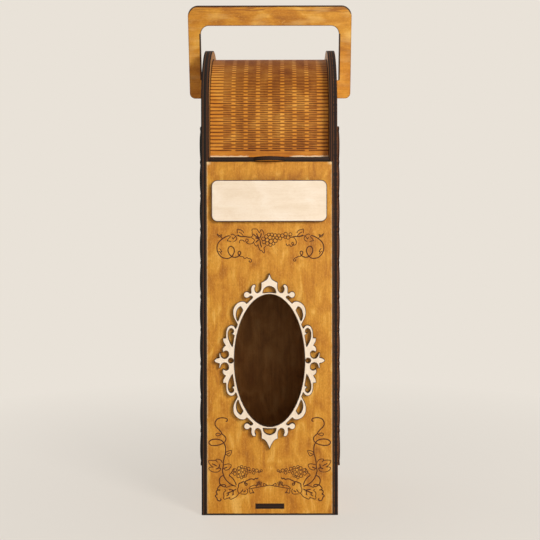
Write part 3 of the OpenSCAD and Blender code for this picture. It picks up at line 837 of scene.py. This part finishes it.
def engravedPiece(name, vine):
    bm = bmesh.new()
    at = bm.verts.layers.float_vector.new("sheet")
    for number, (width, stroke) in enumerate(vineStrokes(vine)):
        half = width / 2
        closed = math.dist(stroke[0], stroke[-1]) < 1e-6
        line = stroke[:-1] if closed else stroke
        count = len(line)
        top = size["frontY"] - engraving["proud"] - 0.002 * (number % 9)
        low = size["frontY"] + engraving["sunk"]
        rings = []
        for k, (x, z) in enumerate(line):
            if closed:
                before, after = line[k - 1], line[(k + 1) % count]
            else:
                before, after = line[max(k - 1, 0)], line[min(k + 1, count - 1)]
            dx, dz = after[0] - before[0], after[1] - before[1]
            length = math.hypot(dx, dz) or 1.0
            nx, nz = -dz / length, dx / length
            taper = 1.0 if closed else min(1.0, 0.45 + 0.3 * min(k, count - 1 - k))
            ring = []
            for out, y in ((-1.0, low), (-0.8, top), (0.8, top), (1.0, low)):
                vert = bm.verts.new(mm(x + nx * half * out * taper, y, z + nz * half * out * taper))
                vert[at] = (x, z, 0.0)
                ring.append(vert)
            rings.append(ring)
        for k in range(count if closed else count - 1):
            first, second = rings[k], rings[(k + 1) % count]
            for i in range(4):
                j = (i + 1) % 4
                bm.faces.new([first[i], second[i], second[j], first[j]])
        if not closed:
            bm.faces.new(rings[0])
            bm.faces.new(rings[-1][::-1])
    bmesh.ops.recalc_face_normals(bm, faces=bm.faces)
    piece = addPiece(name, bm, [engravedLine])
    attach(piece, "root")
    return piece


engravedLine = engravingShader()
engravedPiece("upperVineEngraving", upperVine)
engravedPiece("lowerVineEngraving", lowerVine)
print("engraved vines ready")


# Floor, light and camera

studio = {
    "floorTone": tone(240, 234, 226), "floorShade": tone(236, 229, 220), "backTone": tone(233, 226, 216),
    "footTone": tone(60, 48, 38), "fade": (0.1, 0.55), "footHalf": (0.0505, 0.0514), "nearGlow": 0.68,
    "ambient": 0.155, "ambientTone": (1.0, 0.98, 0.95, 1.0), "aim": (0.0, 0.0, 0.22),
    "lamps": [
        {"name": "softKey", "at": (0.82, -1.06, 0.66), "size": 0.42, "power": 13.8,
         "tone": (1.0, 0.985, 0.96)},
        {"name": "frontSoft", "at": (0.3, -1.45, 0.5), "size": 1.0, "power": 2.5,
         "tone": (1.0, 0.99, 0.97)},
        {"name": "leftFill", "at": (-1.2, -0.8, 0.5), "size": 0.9, "power": 0.3,
         "tone": (0.97, 0.98, 1.0)},
        {"name": "sideSoft", "at": (-1.4, 0.45, 0.5), "size": 1.0, "power": 4.6,
         "tone": (1.0, 1.0, 1.0)},
        {"name": "topSoft", "at": (0.0, 0.3, 1.5), "size": 0.8, "power": 2.2,
         "tone": (1.0, 1.0, 1.0)},
        {"name": "backSoft", "at": (-0.4, 1.5, 0.6), "size": 1.0, "power": 4.0,
         "tone": (1.0, 0.99, 0.97)}]}


def floorShader():
    # lit floor near the box, which fades into the pale tone of the world further away
    shader = Shader(bpy.data.materials.new("paleFloor"))
    place = shader.node("ShaderNodeTexCoord", out="Object")
    cloud = shader.node("ShaderNodeTexNoise", None, {"Vector": place, "Scale": 3.0, "Detail": 3.0})
    split = shader.node("ShaderNodeSeparateXYZ", None, {0: place}).socket.node
    x, y = Wire(shader, split.outputs[0]), Wire(shader, split.outputs[1])
    reach = (x * x + y * y) ** 0.5
    low, high = studio["fade"]
    seen = shader.plainlySeen()
    halfWidth, halfDepth = studio["footHalf"]
    # painted contact shadow: the floor under the box's footprint is darkened, and gets no glow
    shadowUnderBox = (abs(x) < halfWidth) * (abs(y - size["middleY"] * millimetre) < halfDepth)
    bright = shader.blend(cloud, studio["floorTone"], studio["floorShade"])
    lit = shader.body(shader.blend(shadowUnderBox * 0.9, bright, studio["footTone"]), 0.85, 0.0, 0.2)
    near = studio["nearGlow"]
    share = (reach.between(low, high) * (1 - near) + near) * seen * (1 - shadowUnderBox)
    glow = shader.node("ShaderNodeEmission", None, {"Color": studio["backTone"], "Strength": 1.0})
    return shader.finish(shader.node("ShaderNodeMixShader", None, {0: share, 1: lit, 2: glow}))


bm = bmesh.new()
bmesh.ops.create_grid(bm, x_segments=8, y_segments=8, size=3.0)
floorMesh = bpy.data.meshes.new("studioFloor")
bm.to_mesh(floorMesh)
bm.free()
floorMesh.materials.append(floorShader())
studioFloor = bpy.data.objects.new("studioFloor", floorMesh)
scene.collection.objects.link(studioFloor)

sky = Shader(bpy.data.worlds.new("paleStudio"))
backdrop = sky.node("ShaderNodeBackground", None, {"Color": studio["backTone"]})
ambient = sky.node("ShaderNodeBackground", None,
                   {"Color": studio["ambientTone"], "Strength": studio["ambient"]})
choice = sky.node("ShaderNodeMixShader", None, {0: sky.plainlySeen(), 1: ambient, 2: backdrop})
scene.world = sky.finish(choice, "ShaderNodeOutputWorld")

for lamp in studio["lamps"]:
    data = bpy.data.lights.new(lamp["name"], "AREA")
    data.shape = "SQUARE"
    data.size = lamp["size"]
    data.energy = lamp["power"]
    data.color = lamp["tone"]
    holder = bpy.data.objects.new(lamp["name"], data)
    holder.location = lamp["at"]
    aim = Vector(studio["aim"]) - Vector(lamp["at"])
    holder.rotation_euler = aim.to_track_quat("-Z", "Y").to_euler()
    scene.collection.objects.link(holder)

view = {"at": (9.5, -646.25, 205.1), "lens": 52.89, "shiftX": -0.0222, "shiftY": -0.0499, "roll": 0.1}
cameraData = bpy.data.cameras.new("photoView")
cameraData.lens = view["lens"]
cameraData.sensor_width = 36.0
cameraData.shift_x = view["shiftX"]
cameraData.shift_y = view["shiftY"]
cameraData.clip_start = 0.01
camera = bpy.data.objects.new("photoView", cameraData)
camera.location = mm(*view["at"])
camera.rotation_euler = (math.radians(90), math.radians(view["roll"]), 0)
scene.collection.objects.link(camera)
scene.camera = camera
scene.view_settings.view_transform = "Standard"
print("floor, light and camera ready")
